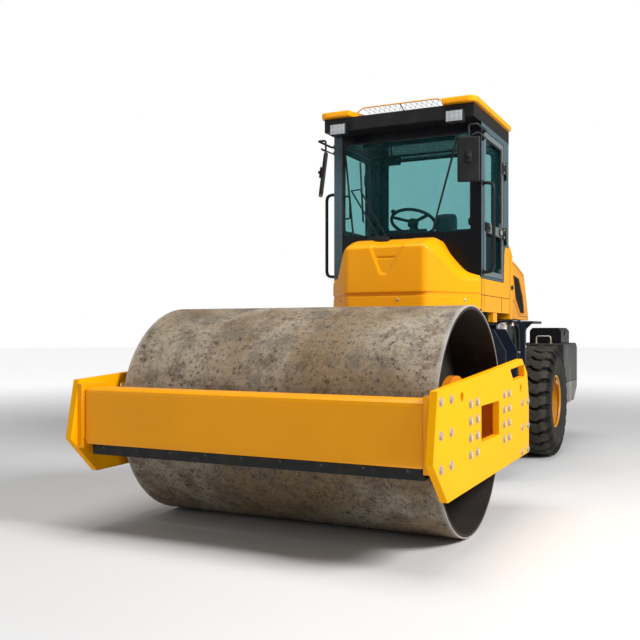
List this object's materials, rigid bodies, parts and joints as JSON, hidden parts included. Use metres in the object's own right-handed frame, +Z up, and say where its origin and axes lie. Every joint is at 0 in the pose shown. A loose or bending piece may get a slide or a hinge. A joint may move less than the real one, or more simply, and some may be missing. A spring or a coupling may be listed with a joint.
{
  "type": "road roller",
  "caption": "Single-drum road roller: smooth steel drum in a yellow frame, articulated to a cab frame with rear tyres, glazed cab, tilting hood and counterweight.",
  "frame": {"origin": "on the ground, under the centre of the machine's bounding box", "axes": "+Z up; -Y is the front (drum end), +Y the tail; +X is the machine's left side"},
  "size_m": [2.354, 6.16, 3.1309],
  "materials": {
    "yellow_paint": "semi-gloss yellow paint",
    "orange_paint": "semi-gloss orange-yellow paint",
    "navy_paint": "dark blue-black paint",
    "black_paint": "black paint",
    "dark_green_paint": "dark grey-green paint",
    "grey_paint": "light grey door frame",
    "worn_steel": "bare rolled steel, dusty and lightly rusted",
    "chrome": "chromed rod",
    "cast_iron": "cast iron",
    "tyre_rubber": "dusty black rubber",
    "black_plastic": "matt black plastic",
    "black_mesh": "dark wire mesh",
    "black_fabric": "black seat cloth",
    "glass": "green-blue tinted safety glass"
  },
  "bodies": {
    "rear_frame": {"cab_floor": "black_plastic", "cab_frame": "black_paint", "cab_platform": "black_paint", "chassis": "navy_paint", "counterweight": "dark_green_paint", "dashboard": "black_plastic", "engine_block": "cast_iron", "exhaust_stack": "cast_iron", "fender_left": "navy_paint", "fender_right": "navy_paint", "front_cowl": "yellow_paint", "fuel_tank": "black_paint", "handrail_left": "black_paint", "handrail_right": "black_paint", "hood_bulkhead": "yellow_paint", "hydraulic_tank": "black_paint", "locker_left": "black_paint", "locker_right": "black_paint", "mirror_left": "black_plastic", "mirror_right": "black_plastic", "rear_axle": "cast_iron", "rear_window": "glass", "roof": "yellow_paint", "roof_liner": "black_plastic", "seat_back": "black_fabric", "seat_base": "black_paint", "seat_cushion": "black_fabric", "side_panel_left": "yellow_paint", "side_panel_right": "yellow_paint", "step_left": "navy_paint", "step_right": "navy_paint", "windscreen": "glass"},
    "hitch": {"hitch": "cast_iron"},
    "drum_frame": {"side_plate_left": "yellow_paint", "side_plate_right": "yellow_paint", "front_beam": "yellow_paint", "rear_crossmember": "yellow_paint", "scraper_front": "black_paint", "scraper_rear": "black_paint", "drum_mount_left": "orange_paint", "drum_mount_right": "orange_paint"},
    "drum": {"drum": "worn_steel"},
    "hood": {"hood": "yellow_paint", "hood_grille_left": "black_mesh", "hood_grille_right": "black_mesh"},
    "steering_wheel": {"steering_wheel": "black_plastic"},
    "steer_barrel_left": {"steer_barrel_left": "black_paint"},
    "steer_rod_left": {"steer_rod_left": "chrome"},
    "wheel_left": {"tyre_left": "tyre_rubber", "rim_left": "orange_paint"},
    "door_left": {"door_left": "grey_paint", "door_glass_left": "glass"},
    "steer_barrel_right": {"steer_barrel_right": "black_paint"},
    "steer_rod_right": {"steer_rod_right": "chrome"},
    "wheel_right": {"tyre_right": "tyre_rubber", "rim_right": "orange_paint"},
    "door_right": {"door_right": "grey_paint", "door_glass_right": "glass"}
  },
  "joints": [
    {"name": "articulation", "type": "hinge", "parent": "rear_frame", "child": "hitch", "pos_m": [0, -0.67, 0.655], "axis": [0, 0, 1], "range_deg": [-35, 35]},
    {"name": "frame_roll", "type": "hinge", "parent": "hitch", "child": "drum_frame", "pos_m": [0, -1.02, 0.655], "axis": [0, 1, 0], "range_deg": [-10, 10]},
    {"name": "drum_roll", "type": "hinge", "parent": "drum_frame", "child": "drum", "pos_m": [0, -2, 0.7], "axis": [1, 0, 0], "continuous": true},
    {"name": "steer_barrel_left_swing", "type": "hinge", "parent": "rear_frame", "child": "steer_barrel_left", "pos_m": [0.5, 0.25, 0.715], "axis": [0, 0, 1], "range_deg": [-2.57, 2.57]},
    {"name": "steer_rod_left_stroke", "type": "slide", "parent": "steer_barrel_left", "child": "steer_rod_left", "axis": [-0.0839, -0.9965, 0], "range_m": [-0.2424, 0.2424]},
    {"name": "steer_barrel_right_swing", "type": "hinge", "parent": "rear_frame", "child": "steer_barrel_right", "pos_m": [-0.5, 0.25, 0.715], "axis": [0, 0, 1], "range_deg": [-2.57, 2.57]},
    {"name": "steer_rod_right_stroke", "type": "slide", "parent": "steer_barrel_right", "child": "steer_rod_right", "axis": [0.0839, -0.9965, 0], "range_m": [-0.2424, 0.2424]},
    {"name": "wheel_left_roll", "type": "hinge", "parent": "rear_frame", "child": "wheel_left", "pos_m": [0.72, 1.57, 0.545], "axis": [1, 0, 0], "continuous": true},
    {"name": "door_left_swing", "type": "hinge", "parent": "rear_frame", "child": "door_left", "pos_m": [0.668, 0.4, 2.2], "axis": [0, 0, 1], "range_deg": [0, 85]},
    {"name": "wheel_right_roll", "type": "hinge", "parent": "rear_frame", "child": "wheel_right", "pos_m": [-0.72, 1.57, 0.545], "axis": [1, 0, 0], "continuous": true},
    {"name": "door_right_swing", "type": "hinge", "parent": "rear_frame", "child": "door_right", "pos_m": [-0.668, 0.4, 2.2], "axis": [0, 0, -1], "range_deg": [0, 85]},
    {"name": "hood_tilt", "type": "hinge", "parent": "rear_frame", "child": "hood", "pos_m": [0, 2.355, 1.38], "axis": [-1, 0, 0], "range_deg": [0, 45]},
    {"name": "steering_wheel_turn", "type": "hinge", "parent": "rear_frame", "child": "steering_wheel", "pos_m": [0, -0.13, 2.18], "axis": [0, 0.4695, 0.8829], "continuous": true}
  ],
  "couplings": [
    {"joint": "steer_barrel_left_swing", "follows": "articulation", "ratio": -0.04063},
    {"joint": "steer_rod_left_stroke", "follows": "articulation", "m_per_rad": -0.39357},
    {"joint": "steer_barrel_right_swing", "follows": "articulation", "ratio": -0.04063},
    {"joint": "steer_rod_right_stroke", "follows": "articulation", "m_per_rad": 0.39357}
  ]
}
